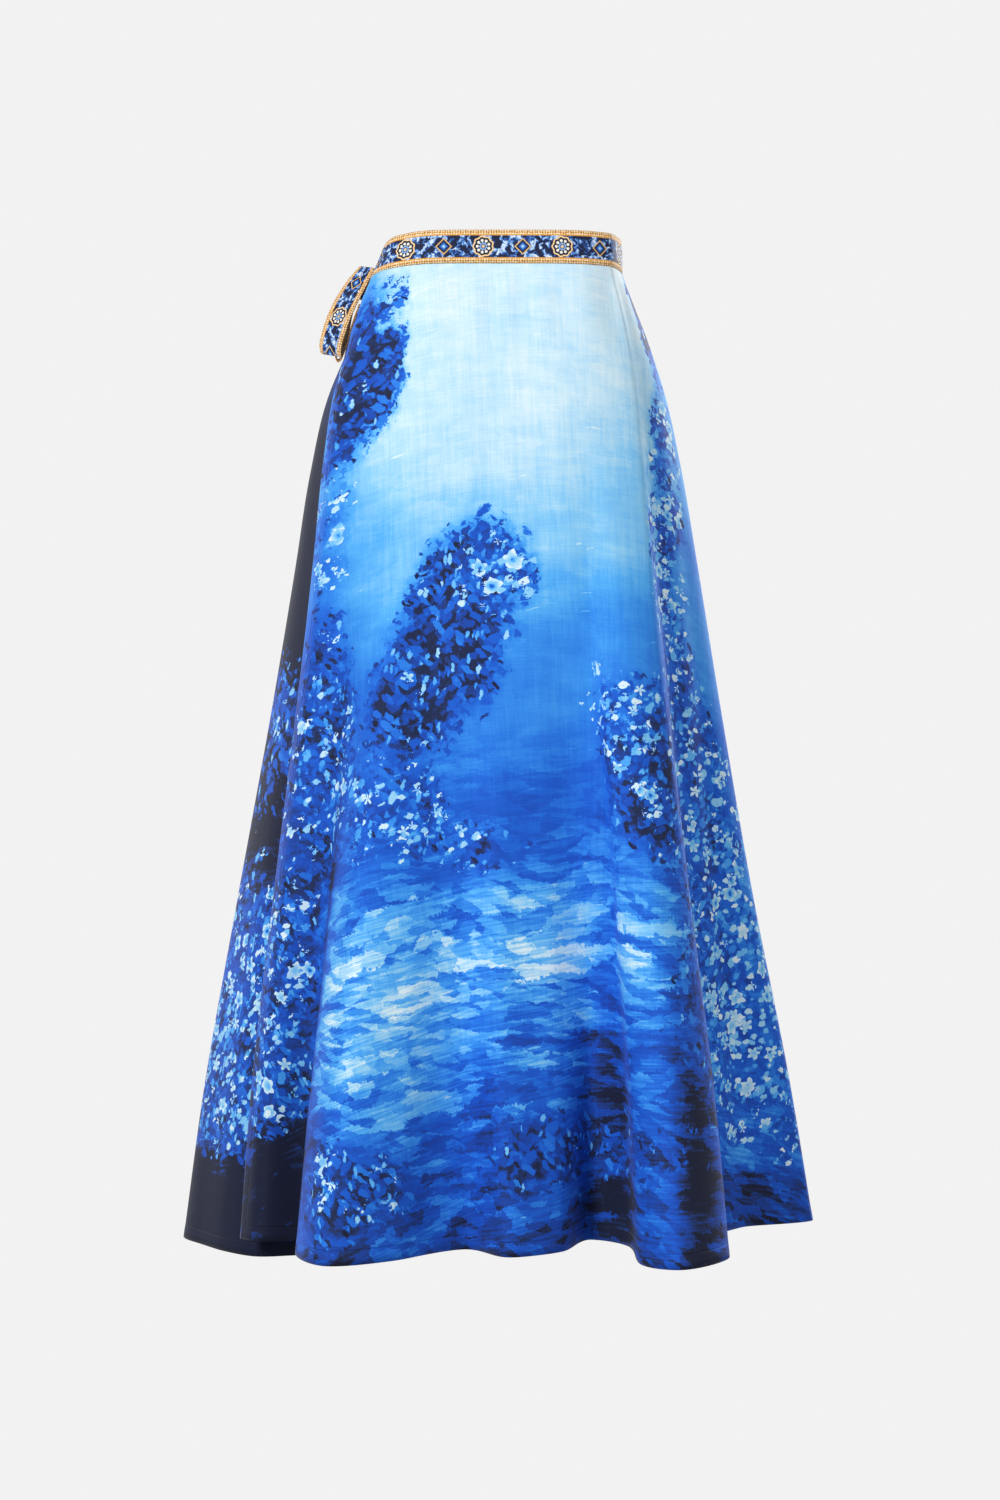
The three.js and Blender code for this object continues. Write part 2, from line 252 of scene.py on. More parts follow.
# Plants: place across and down, reach across and down, dark leaves, pale blossoms.
# A row below zero clears its place
FRONT_PLANTS = [
    (0.10, 0.06, 0.10, 0.06, 1.10, 0.30),
    (0.09, 0.14, 0.10, 0.06, 1.20, 0.40),
    (0.04, 0.27, 0.07, 0.08, 0.70, 1.00),
    (0.35, 0.37, 0.10, 0.08, 1.60, 0.30),
    (0.43, 0.31, 0.08, 0.05, 0.90, 1.20),
    (0.27, 0.46, 0.08, 0.06, 1.10, 0.50),
    (0.07, 0.50, 0.09, 0.13, 1.20, 0.80),
    (0.04, 0.74, 0.08, 0.12, 1.20, 0.80),
    (0.24, 0.56, 0.12, 0.05, 0.80, 1.10),
    (0.40, 0.60, 0.10, 0.03, 1.00, 0.60),
    (0.70, 0.52, 0.10, 0.09, 1.20, 0.70),
    (0.63, 0.45, 0.07, 0.05, 0.30, 1.00),
    (0.93, 0.05, 0.045, 0.07, 1.30, 0.30),
    (0.91, 0.20, 0.05, 0.07, 1.00, 1.00),
    (0.84, 0.32, 0.08, 0.14, 0.70, 1.00),
    (0.90, 0.56, 0.09, 0.16, 0.80, 1.10),
    (0.95, 0.78, 0.09, 0.14, 0.60, 1.60),
    (0.78, 0.76, 0.09, 0.12, 1.20, 0.50),
    (0.52, 0.90, 0.16, 0.05, 1.00, 0.40),
    (0.23, 0.93, 0.08, 0.06, 1.10, 0.80),
    (0.05, 0.85, 0.05, 0.05, 0.90, 0.80),
    # Clears the leaves and blossoms from the left fold valley, so that its painted shade shows
    (0.12, 0.87, 0.028, 0.20, -1.10, -1.20),
    (0.05, 0.97, 0.07, 0.05, -0.80, -0.80),
]
BACK_PLANTS = [
    (0.02, 0.08, 0.05, 0.07, 1.00, 0.60),
    (0.04, 0.20, 0.07, 0.08, 0.90, 0.90),
    (0.05, 0.75, 0.10, 0.16, 0.80, 1.20),
    (0.08, 0.40, 0.10, 0.18, 1.10, 0.90),
    (0.36, 0.40, 0.13, 0.09, 1.50, 0.30),
    (0.43, 0.34, 0.09, 0.05, 0.40, 1.10),
    (0.68, 0.52, 0.13, 0.08, 1.00, 1.10),
    (0.30, 0.62, 0.14, 0.05, 0.90, 1.00),
    (0.55, 0.88, 0.26, 0.06, 1.00, 0.60),
    (0.90, 0.55, 0.12, 0.12, 1.20, 0.80),
    (0.94, 0.76, 0.12, 0.12, 0.80, 1.20),
    (0.98, 0.87, 0.12, 0.05, 0.90, 1.10),
]
UNDER_PLANTS = [
    (0.15, 0.46, 0.20, 0.10, 1.10, 0.60),
    (0.10, 0.72, 0.25, 0.12, 0.90, 1.10),
    (0.20, 0.86, 0.30, 0.06, 1.10, 0.80),
]

# Columns of the tables above that hold the amounts
CHANGE_COLUMN = 4
LEAF_COLUMN = 4
BLOOM_COLUMN = 5
ROUGH_PAINT = {"from": 0.45, "over": 0.25}


def ease(value):
    """Smooth step from 0 at 0 to 1 at 1."""
    value = np.clip(value, 0.0, 1.0)
    return value * value * (3 - 2 * value)


def spline(stops, values, at):
    """Smooth curve through rows of values at the given stops."""
    stops = np.asarray(stops, float)
    values = np.asarray(values, float)
    at = np.atleast_1d(np.asarray(at, float))
    extra = [1] * (values.ndim - 1)
    width = np.diff(stops).reshape(-1, *extra)
    chord = np.diff(values, axis=0) / width
    slope = np.empty_like(values)
    slope[0] = chord[0]
    slope[-1] = chord[-1]
    slope[1:-1] = (chord[1:] * width[:-1] + chord[:-1] * width[1:]) / (width[1:] + width[:-1])
    before = np.clip(np.searchsorted(stops, at, side="right") - 1, 0, len(width) - 1)
    after = before + 1
    span = width[before]
    share = (at - stops[before]).reshape(-1, *extra) / span
    level = values[before] + (values[after] - values[before]) * share * share * (3 - 2 * share)
    leaving = (1 - share) ** 2 * share * span * slope[before]
    arriving = share * share * (1 - share) * span * slope[after]
    return level + leaving - arriving


def near_hip(turn):
    """1 on the left hip, where the band dips and leans, and 0 away from it."""
    return ease(1 - np.abs((np.asarray(turn) + 180) % 360 - 180) / HIP_DIP["width"])


def form_radius(turn, down):
    """Distance from the axis to the unfolded skirt."""
    left, right, front, back = spline(SECTIONS[:, 0], SECTIONS[:, 1:], down)[0]
    c, s = np.cos(np.radians(turn)), np.sin(np.radians(turn))
    across = right + (left - right) * (1 + c) / 2
    deep = back + (front - back) * (1 + s) / 2
    flatness = np.where(s > 0, FORM["front_flatness"], FORM["back_flatness"])
    power = FORM["power"] + flatness * np.exp(-FORM["flatness_fade"] * down) * np.sqrt(np.abs(s))
    return (np.abs(c / across) ** power + np.abs(s / deep) ** power) ** (-1 / power)


TOWARDS = np.degrees(np.arctan2(-HEM_Y, -HEM_X))
HEM_TURN = TOWARDS + 360 * np.round((TURN - TOWARDS) / 360)
REACH = np.hypot(HEM_X, HEM_Y) / form_radius(HEM_TURN, 1.0)
INSET = UNDERLAP["step"] * ease((TURN - UNDERLAP["from"]) / (UNDERLAP["to"] - UNDERLAP["from"]))


def fold_points(down):
    """Points of all the fold lines at a share of the way down."""
    turn = TURN + (HEM_TURN - TURN) * down ** FOLD_SWING
    opened = np.clip((down - START) / (1 - START), 0, 1) ** PACE
    radius = form_radius(turn, down) * (1 + (REACH - 1) * opened) - INSET * (1 - down)
    dip = HIP_DIP["depth"] * near_hip(TURN) * (1 - down) ** HIP_DIP["fade"]
    z = SKIRT_TOP - down * SKIRT_LENGTH - DROP * down ** 2 - dip
    return np.stack([-radius * np.cos(np.radians(turn)), -radius * np.sin(np.radians(turn)), z], 1)


def chords(points):
    """Distance from each point to the next."""
    return np.linalg.norm(np.diff(points, axis=0), axis=1)


def fold_stops():
    """Where each fold lies along the cloth: its distance at the hem mixed with that at the hip."""
    at_hem = FOLD_SPACING["hem_weight"] * chords(fold_points(1.0))
    at_hip = FOLD_SPACING["hip_weight"] * chords(fold_points(FOLD_SPACING["hip_at"]))
    return np.concatenate([[0], np.cumsum(at_hem + at_hip)])


FOLD_STOPS = fold_stops()


def level(stops, down):
    """Points of the cloth and its level outward directions, at stops along the cloth."""
    lines = fold_points(down)
    points = spline(FOLD_STOPS, lines, stops)
    along = spline(FOLD_STOPS, lines, stops + 1) - spline(FOLD_STOPS, lines, stops - 1)
    out = np.stack([along[:, 1], -along[:, 0], np.zeros(len(stops))], 1)
    return points, out / np.linalg.norm(out, axis=1)[:, None]


def store(mesh, name, outer, inner):
    """Keeps a number for each point of the outer and of the inner side."""
    attribute = mesh.attributes.new(name, "FLOAT", "POINT")
    attribute.data.foreach_set("value", np.concatenate([outer.ravel(), inner.ravel()]).astype(np.float32))


def shell(name, middle, out, thickness, uv, numbers):
    """Closed thin shell round a grid of points. Rows go down and columns to the right, seen from outside."""
    rows, columns = middle.shape[:2]
    half = out * thickness[..., None] / 2
    points = np.concatenate([(middle + half).reshape(-1, 3), (middle - half).reshape(-1, 3)]) * MM
    index = np.arange(rows * columns).reshape(rows, columns)
    corners = [index[:-1, :-1], index[1:, :-1], index[1:, 1:], index[:-1, 1:]]
    outer = np.stack(corners, -1).reshape(-1, 4)
    inner = outer[:, ::-1] + rows * columns
    rim = np.concatenate([index[0, ::-1], index[1:, 0], index[-1, 1:], index[-2:0:-1, -1]])
    following = np.roll(rim, -1)
    edge = np.stack([following, rim, rim + rows * columns, following + rows * columns], -1)
    faces = np.concatenate([outer, inner, edge])
    mesh = bpy.data.meshes.new(name)
    mesh.from_pydata(points.tolist(), [], faces.tolist())
    layer = mesh.uv_layers.new(name="cut")
    both = np.concatenate([uv.reshape(-1, 2)] * 2)
    layer.data.foreach_set("uv", both[faces.ravel()].ravel())
    for key, values in numbers.items():
        store(mesh, key, values, values)
    store(mesh, "inside", np.zeros(rows * columns), np.ones(rows * columns))
    mesh.validate()
    mesh.shade_smooth()
    return linked(name, mesh)


def linked(name, data):
    """New object in the scene."""
    item = bpy.data.objects.new(name, data)
    bpy.context.scene.collection.objects.link(item)
    return item


def placed(table, across, down, column):
    """Sum of the soft patches placed on a panel, from one column of their table."""
    total = np.zeros_like(across)
    for row in table:
        place, below, wide, tall = row[:4]
        total += row[column] * np.exp(-((across - place) / wide) ** 2 - ((down - below) / tall) ** 2)
    return total


def flat_cut(widths, lengths):
    """Radius and angle of the flat flared piece that has these widths at these lengths."""
    angle = (widths[-1] - widths[0]) / (lengths[-1] - lengths[0])
    return widths[0] / angle, angle


def creases(stops, down):
    """Small soft ripples that run down the cloth, in millimetres outward."""
    fan = np.sin(stops * RIPPLE["rate"] + RIPPLE["sway"] * np.sin(stops * RIPPLE["sway_rate"]))
    near_band = BAND_RIPPLE["height"] * np.exp(-((down - BAND_RIPPLE["at"]) / BAND_RIPPLE["reach"]) ** 2)
    even = EVEN_RIPPLE["height"] * ease(down * EVEN_RIPPLE["growth"])
    wave = np.sin(stops * LOW_RIPPLE["rate"] + LOW_RIPPLE["shift"])
    low = LOW_RIPPLE["height"] * ease((down - LOW_RIPPLE["from"]) / LOW_RIPPLE["over"]) * wave
    return fan * (near_band + even) * ease(down * RIPPLE["growth"]) + low * fan


def pulls(stops, down):
    """Small folds of the front wrap that run out from the tie, in millimetres outward."""
    aside = stops * (PULLS_SPREAD["mm_per_stop"] + PULLS_SPREAD["widening"] * down)
    below = down * SKIRT_LENGTH
    away = np.hypot(aside, below)
    ray = 0.5 + 0.5 * np.sin(PULLS["rays"] * np.arctan2(below, aside) + PULLS["shift"])
    return PULLS["height"] * ray * np.exp(-(away / PULLS["reach"]) ** 2) * ease(away / PULLS["start"])


def hang(stops, down, tied):
    """Middle of a panel's cloth, row by row, and its outward directions."""
    middle = np.empty((len(down), len(stops), 3))
    out = np.empty_like(middle)
    for row, share in enumerate(down):
        middle[row], out[row] = level(stops, share)
        relief = creases(stops, share)
        if tied:
            relief = relief + pulls(stops, share)
        middle[row] += out[row] * relief[:, None]
    return middle, out


def open_seams(middle, out):
    """Moves a panel's two side edges half a gap back from its neighbours."""
    for column, side in ((0, 1), (-1, -1)):
        along = np.stack([-out[:, column, 1], out[:, column, 0], np.zeros(len(out))], 1)
        middle[:, column] += along * side * GAP / 2


def panel(name, first_fold, last_fold, columns, tones, plants, free_edge=None):
    """Skirt panel between two fold lines, with the large tones of its print and its painted shade as numbers
    on its points.
    """
    down = np.linspace(0, 1, LEVELS + 1) ** LEVEL_CROWDING
    stops = np.linspace(FOLD_STOPS[first_fold], FOLD_STOPS[last_fold], columns + 1)
    middle, out = hang(stops, down, tied=free_edge == "first")
    open_seams(middle, out)
    widths = np.array([chords(row).sum() for row in middle])
    steps = np.median(np.linalg.norm(np.diff(middle, axis=0), axis=2), axis=1)
    run = np.concatenate([[0], np.cumsum(steps)])
    radius, angle = flat_cut(widths, run)
    share = np.linspace(0, 1, columns + 1)
    turn = (share[None, :] - 0.5) * (widths / (radius + run))[:, None]
    reach = (radius + run)[:, None]
    uv = np.stack([reach * np.sin(turn), -reach * np.cos(turn)], -1) * MM
    across, deep = np.broadcast_arrays(share[None, :], down[:, None])
    from_hem = (run[-1] - run)[:, None] + 0 * across
    if free_edge == "first":
        from_hem = np.minimum(from_hem, across * widths[:, None])
    if free_edge == "last":
        from_hem = np.minimum(from_hem, (1 - across) * widths[:, None])
    folded = ease((HEM_FOLD - from_hem) / HEM_THICKENING["over"] + 0.5)
    thickness = SHOWN_CLOTH * (1 + HEM_THICKENING["more"] * folded)
    piece = shell(name, middle, out, thickness, uv, {
        # tone: the print's large tones and the painted shade of the fold patches
        "tone": np.interp(deep, TONE_DOWN, TONE) + placed(tones, across, deep, CHANGE_COLUMN),
        "leaf": placed(plants, across, deep, LEAF_COLUMN),
        "bloom": placed(plants, across, deep, BLOOM_COLUMN),
        "rough": ease((deep - ROUGH_PAINT["from"]) / ROUGH_PAINT["over"]),
        "from_hem": from_hem * MM,
    })
    return piece


def taper(across):
    """Rounds the edges of a ribbon: 1 in the middle and less at either edge."""
    return np.sqrt(1 - RIBBON_EDGE["thinning"] * np.abs(2 * across - 1) ** RIBBON_EDGE["sharpness"])


def strip(name, middle, out, cloth):
    """Band or ribbon, rows along it and columns across it, with its length."""
    columns = middle.shape[1]
    along = np.concatenate([[0], np.cumsum(chords(middle[:, columns // 2]))])
    across = np.linspace(0, 1, columns)
    uv = np.stack(np.broadcast_arrays(along[:, None], (across[None, :] - 0.5) * BAND_WIDTH), -1) * MM
    thickness = np.broadcast_to(cloth * taper(across)[None, :], middle.shape[:2])
    return shell(name, middle, out, thickness, uv, {}), along[-1]


def waistband():
    """Band once round above the panels and on above the underlap."""
    stops = np.linspace(0, FOLD_STOPS[LAST_FOLD], COLUMNS["waistband"] + 1)
    points, out = level(stops, 0.0)
    hip = near_hip(spline(FOLD_STOPS, TURN, stops))
    lean = BAND_LEAN["elsewhere"] + (BAND_LEAN["hip"] - BAND_LEAN["elsewhere"]) * hip
    height = np.sqrt(BAND_WIDTH ** 2 - lean ** 2)
    side = np.linspace(0, 1, ACROSS["waistband"])
    middle = points[:, None, :] - out[:, None, :] * (side[None, :, None] * lean[:, None, None])
    middle[..., 2] += GAP + side[None, :] * height[:, None]
    out = np.repeat(out[:, None], len(side), 1)
    piece, length = strip("waistband_cloth", middle, out, BAND_CLOTH)
    return piece


def ribbon(name, stations):
    """Ribbon through the stations of a loop."""
    stations = np.array(stations, float)
    stops = np.arange(len(stations))
    at = np.linspace(0, stops[-1], LOOP_STEPS * stops[-1] + 1)
    rows = spline(stops, stations, at)
    swing = np.radians(rows[:, 3])
    width = np.stack([np.sin(swing), -np.cos(swing), np.full(len(at), LOOP_RISE)], 1)
    width /= np.linalg.norm(width, axis=1)[:, None]
    centres = stations[:, :3]
    ahead = spline(stops, centres, at + LOOK_AHEAD) - spline(stops, centres, at - LOOK_AHEAD)
    out = np.cross(ahead, width)
    out /= np.linalg.norm(out, axis=1)[:, None]
    side = np.linspace(-0.5, 0.5, ACROSS["ribbon"])
    middle = rows[:, None, :3] + width[:, None] * (side[None, :, None] * rows[:, None, 4:5])
    piece, length = strip(name, middle, np.repeat(out[:, None], len(side), 1), RIBBON_CLOTH)
    return piece


def loose_end(name, length, turn, lift):
    """Ribbon end that hangs from the knot over the back of the skirt."""
    top = KNOT_CENTRE[2] - KNOT_HALF[2] - ENDS["below_knot"]
    side = np.linspace(-0.5, 0.5, ACROSS["ribbon"])
    middle = np.empty((END_ROWS + 1, len(side), 3))
    out = np.empty_like(middle)
    for row, share in enumerate(np.linspace(0, 1, END_ROWS + 1)):
        down = (SKIRT_TOP - top + share * length) / SKIRT_LENGTH
        here = ENDS["top_turn"] + (turn - ENDS["top_turn"]) * ease(share / ENDS["settled"])
        centre = spline(TURN, FOLD_STOPS, here)[0]
        beside = level(np.array([centre - 1, centre + 1]), down)[0]
        per_stop = np.linalg.norm(beside[1] - beside[0]) / 2
        points, out[row] = level(centre + side * BAND_WIDTH / per_stop, down)
        middle[row] = points + out[row] * lift
    piece, run = strip(name, middle, out, RIBBON_CLOTH)
    return piece


def knot():
    """Wrapped knot: a rounded block with soft creases where the ribbon turns."""
    slices, rings, pole = KNOT_MESH["slices"], KNOT_MESH["rings"], KNOT_MESH["pole"]
    polar = np.linspace(pole, math.pi - pole, rings + 1)[:, None]
    round_about = np.linspace(0, 2 * math.pi, slices, endpoint=False)[None, :]
    unit = np.stack([
        np.sin(polar) * np.cos(round_about),
        np.sin(polar) * np.sin(round_about),
        np.cos(polar) + 0 * round_about,
    ], -1)
    slanted = KNOT_WRAP["rate"] * unit[..., 2:3] + KNOT_WRAP["slant"] * unit[..., 1:2]
    wrap = np.minimum(1 + KNOT_WRAP["depth"] * np.sin(slanted) * np.sin(polar)[..., None], 1.0)
    block = KNOT_HALF * np.sign(unit) * np.abs(unit) ** KNOT_ROUNDNESS * wrap
    points = (KNOT_CENTRE + block).reshape(-1, 3)
    index = np.arange((rings + 1) * slices).reshape(rings + 1, slices)
    right = np.roll(index, -1, axis=1)
    sides = np.stack([index[:-1], index[1:], right[1:], right[:-1]], -1).reshape(-1, 4)
    faces = sides.tolist() + [index[0].tolist(), index[-1][::-1].tolist()]
    mesh = bpy.data.meshes.new("knot_cloth")
    mesh.from_pydata((points * MM).tolist(), [], faces)
    layer = mesh.uv_layers.new(name="cut")
    offset = (points - KNOT_CENTRE) * MM
    corners = np.array([loop.vertex_index for loop in mesh.loops])
    layer.data.foreach_set("uv", np.stack([offset[:, 2], offset[:, 1]], 1)[corners].ravel())
    mesh.shade_smooth()
    piece = linked("knot_cloth", mesh)
    return piece


# Tones of the print, from 0 to 1
PAINT = [
    (0.02, "131a36"), (0.10, "1b2f5e"), (0.19, "16409a"), (0.30, "104cba"), (0.42, "125ccf"),
    (0.52, "1f74e0"), (0.62, "3490ec"), (0.72, "52aef5"), (0.82, "86caf5"), (0.92, "bfe3f6"),
    (1.00, "e0f1f9"),
]
WRONG_SIDE = "b9cfe6"
WRONG_SIDE_SHARE = 0.45

# Clouds of tone on the cut cloth: width and height in metres, turn in radians
WASH = {"wide": 0.20, "tall": 0.11, "turn": 0.1, "detail": 4, "roughness": 0.6}
STREAK = {"wide": 0.045, "tall": 0.0026, "turn": 0.12, "detail": 3, "roughness": 0.6}
FIBRES = {"wide": 0.005, "tall": 0.10, "turn": 0.0, "detail": 3, "roughness": 0.6}
GLINT = {"wide": 0.055, "tall": 0.008, "turn": 0.15, "detail": 4, "roughness": 0.7, "move": (4, 2, 0)}
SLUBS_ACROSS = {"wide": 0.03, "tall": 0.0012, "turn": 0.0, "detail": 2, "roughness": 0.7}
SLUBS_ALONG = {"wide": 0.0012, "tall": 0.03, "turn": 0.0, "detail": 2, "roughness": 0.7}
LONG_STROKES = {"wide": 0.060, "tall": 0.016, "turn": 0.10}
SHORT_STROKES = {"wide": 0.026, "tall": 0.007, "turn": -0.12}
# How a place is pushed about, as shares of the size of a dab or stroke
DAB_PUSH = {"scale": 1.2, "detail": 2, "roughness": 0.6, "reach": 0.9}
BLOSSOM_PUSH = {"scale": 1.0, "detail": 3, "roughness": 0.7, "reach": 0.5}
STROKE_PUSH = {"scale": 0.8, "detail": 4, "roughness": 0.75, "reach": 1.6}
STROKE_BEND = {"scale": 7.0, "detail": 1, "roughness": 0.5, "output": "Color"}
STROKE_BEND_REACH = 0.05
GLINT_STEP = (0.65, 0.70)

# How far each cloud changes the tone. A pair is for calm and for rough paint
CHANGE = {"wash": 0.35, "strokes": 0.30, "streak": 0.50, "fibres": 0.10, "threads": 0.10}
STROKE_CHANGE = (0.08, 1.0)
GLINT_CHANGE = (0.12, 0.28)

# Drifts of plants: ragged edge, steps from none to full, tones under the dabs
LEAF_EDGE = {"scale": 12.0, "detail": 7, "roughness": 0.72}
LEAF_RAGGEDNESS = 4.0
LEAF_STEP = (0.35, 0.90)
LEAF_SHADOW = 0.55
DEEP_STEP = (0.75, 1.00)
DEEP_TONE = 0.05
BLOOM_EDGE = {"scale": 30.0, "detail": 5, "roughness": 0.75}
BLOOM_PLACE = (3, 5, 0)
BLOOM_RAGGEDNESS = 5.0
BLOOM_STEP = (0.40, 1.10)
BLOOM_GROUND = {"share": 0.35, "tone": 0.45}

# Dabs: share of the drift, size, stretch, turn, ranges of tone and of radius
LEAF_DABS = [
    (1.00, 0.0120, 1.5, 0.6, (0.06, 0.45), (0.34, 0.62)),
    (1.00, 0.0095, 1.5, -0.8, (0.00, 0.55), (0.34, 0.62)),
    (0.32, 0.0080, 1.5, 1.4, (0.40, 0.88), (0.20, 0.50)),
]
DABS_UNDER_BLOSSOMS = (0.55, 0.0110, 1.3, 0.9, (0.42, 0.85), (0.34, 0.62))
DABS_OVER_BLOSSOMS = (0.45, 0.0075, 1.2, 0.3, (0.65, 1.00), (0.34, 0.62))
DAB_PLACE = (7, 3)
DAB_BLUR = 0.08
BLOSSOM = {"share": 0.75, "size": 0.0200, "petals": 5.0, "notch": 0.07, "turning": 6.3}
BLOSSOM_RADIUS = (0.30, 0.46)
BLOSSOM_RIM = (-0.02, 0.03)
PETAL_STEP, PETAL_TONES = (0.45, 0.1), (0.98, 0.76)
EYE_STEP, EYE_TONE = (0.04, 0.16), 0.40

# Relief and finish, depths in metres
THREAD_DEPTH = 0.00025
HEM_STITCH = {"half": 0.0012, "depth": 0.0006}
BAND_STITCH = {"half": 0.0006, "depth": 0.0004, "at": 0.0155}
SKIRT_ROUGHNESS = 0.75
BAND_ROUGHNESS = 0.70
SHEEN = {"weight": 0.12, "roughness": 0.4}
SPECULAR = 0.25

# Border print of the band, in metres
MOTIF_EVERY = 0.040
ROSETTE = 0.0105
ROSETTE_DOTS = 9
SCALLOP = 0.05
DOT_RADIUS = 0.0060
DOT = 0.0017
DOT_CORE = 0.7
LOZENGE = 0.0085
MOTIF_RIM = (1.04, 1.00)
EDGE_FROM = 0.0118
EDGE_BLUR = 0.0003
EDGE_LINE = (0.0009, 0.0004)
BEAD = 0.0026
BEAD_WEAR = {"scale": 420.0, "detail": 2, "roughness": 0.5}
BEAD_WEAR_SHARE = 0.8
FLECK_PUSH = {"scale": 190.0, "detail": 2, "roughness": 0.5, "output": "Color"}
FLECK_REACH = 0.010
FLECKS = {"scale": 140.0, "detail": 3, "roughness": 0.6}
NAVY = "18203f"
PEARL = "f6efe2"
GOLD = "e0a24a"
ROSETTE_RINGS = [
    (0.00, "fbf3e2"), (0.12, "e2b266"), (0.18, NAVY), (0.24, "3f82d8"), (0.34, "a8d0f2"), (0.40, NAVY),
    (0.84, NAVY), (0.88, "f0c67e"), (0.96, "fae7c2"), (1.00, "b97f3c"),
]
LOZENGE_RINGS = [
    (0.00, "e6f1fa"), (0.22, "62a6e8"), (0.40, "1f5fc0"), (0.62, NAVY), (0.80, NAVY), (0.88, "f3cf8e"),
    (1.00, "cf984c"),
]
BEAD_TONES = [
    (0.00, "fffaf0"), (0.20, "fbe6bf"), (0.36, "eebd72"), (0.52, "c98a42"), (0.70, "8a5a2c"),
]
FLECK_TONES = [
    (0.00, NAVY), (0.48, NAVY), (0.51, "2450a0"), (0.55, "4f8ad4"), (0.59, "b4d3f2"),
    (0.64, "f4f8fb"), (0.69, "5f9ade"), (0.72, NAVY), (1.00, NAVY),
]


def linear(code):
    """Linear colour from a plain hex code."""
    parts = [int(code[i:i + 2], 16) / 255 for i in (0, 2, 4)]
    return [c / 12.92 if c <= 0.04045 else ((c + 0.055) / 1.055) ** 2.4 for c in parts] + [1.0]


class Nodes:
    """Short way to write a shader: every method makes one node or a few and returns an output."""

    def __init__(self, name):
        self.material = bpy.data.materials.new(name)
        self.material.use_nodes = True
        self.tree = self.material.node_tree
        self.shader = self.tree.nodes["Principled BSDF"]

    def put(self, socket, value):
        """Links a node's output to a socket, or sets the socket to a plain value."""
        if isinstance(value, bpy.types.NodeSocket):
            self.tree.links.new(value, socket)
        else:
            socket.default_value = value

    def math(self, operation, *values):
        node = self.tree.nodes.new("ShaderNodeMath")
        node.operation = operation
        for socket, value in zip(node.inputs, values):
            self.put(socket, value)
        return node.outputs[0]

    def centred(self, value):
        """A number from 0 to 1 moved to lie around 0."""
        return self.math("SUBTRACT", value, 0.5)

    def length(self, x, y):
        """Distance of a point from the middle."""
        squares = self.math("ADD", self.math("MULTIPLY", x, x), self.math("MULTIPLY", y, y))
        return self.math("SQRT", squares)

    def off(self, value, place):
        """How far a number is from a place, either way."""
        return self.math("ABSOLUTE", self.math("SUBTRACT", value, place))

    def blend(self, share, low, high):
        """Numbers: low + (high - low) * share."""
        node = self.tree.nodes.new("ShaderNodeMix")
        self.put(node.inputs[0], share)
        self.put(node.inputs[2], low)
        self.put(node.inputs[3], high)
        return node.outputs[0]

    def colour_mix(self, share, low, high):
        """Colours: low + (high - low) * share."""
        node = self.tree.nodes.new("ShaderNodeMix")
        node.data_type = "RGBA"
        self.put(node.inputs[0], share)
        self.put(node.inputs[6], low)
        self.put(node.inputs[7], high)
        return node.outputs[2]

    def step(self, value, low, high):
        """Smooth step from 0 at low to 1 at high."""
        node = self.tree.nodes.new("ShaderNodeMapRange")
        node.interpolation_type = "SMOOTHSTEP"
        for socket, item in zip(node.inputs, (value, low, high)):
            self.put(socket, item)
        return node.outputs[0]

    def attribute(self, name):
        """Number kept on the points."""
        node = self.tree.nodes.new("ShaderNodeAttribute")
        node.attribute_name = name
        return node.outputs["Fac"]

    def cut(self):
        """Place on the cut cloth, in metres."""
        node = self.tree.nodes.new("ShaderNodeUVMap")
        node.uv_map = "cut"
        return node.outputs[0]

    def mapped(self, vector, wide, tall, turn=0.0, move=(0, 0, 0)):
        """Vector moved and turned, and then measured in units of this width and height."""
        node = self.tree.nodes.new("ShaderNodeMapping")
        node.vector_type = "TEXTURE"
        self.put(node.inputs[0], vector)
        node.inputs["Location"].default_value = move
        node.inputs["Rotation"].default_value = (0, 0, turn)
        node.inputs["Scale"].default_value = (wide, tall, 1)
        return node.outputs[0]

    def noise(self, vector, scale, detail, roughness, output="Fac"):
        node = self.tree.nodes.new("ShaderNodeTexNoise")
        self.put(node.inputs["Vector"], vector)
        node.inputs["Scale"].default_value = scale
        node.inputs["Detail"].default_value = detail
        node.inputs["Roughness"].default_value = roughness
        return node.outputs[output]

    def cloud(self, cut, wide, tall, turn, detail, roughness, move=(0, 0, 0)):
        """Noise whose patches have this width and height."""
        return self.noise(self.mapped(cut, wide, tall, turn, move), 1.0, detail, roughness)

    def cells(self, vector, scale):
        """Distance from the middle of a cell, two numbers of the cell's own, and its middle."""
        node = self.tree.nodes.new("ShaderNodeTexVoronoi")
        self.put(node.inputs["Vector"], vector)
        node.inputs["Scale"].default_value = scale
        split = self.tree.nodes.new("ShaderNodeSeparateColor")
        self.put(split.inputs[0], node.outputs["Color"])
        return node.outputs["Distance"], split.outputs[0], split.outputs[1], node.outputs["Position"]

    def parts(self, vector):
        """The x and y of a vector."""
        node = self.tree.nodes.new("ShaderNodeSeparateXYZ")
        self.put(node.inputs[0], vector)
        return node.outputs[0], node.outputs[1]

    def minus(self, first, second):
        """First vector less the second."""
        node = self.tree.nodes.new("ShaderNodeVectorMath")
        node.operation = "SUBTRACT"
        self.put(node.inputs[0], first)
        self.put(node.inputs[1], second)
        return node.outputs[0]

    def moved(self, vector, colour, amount):
        """Vector pushed about by a colour noise."""
        node = self.tree.nodes.new("ShaderNodeVectorMath")
        node.operation = "MULTIPLY_ADD"
        self.put(node.inputs[0], self.minus(colour, (0.5, 0.5, 0.5)))
        node.inputs[1].default_value = (amount, amount, 0)
        self.put(node.inputs[2], vector)
        return node.outputs[0]

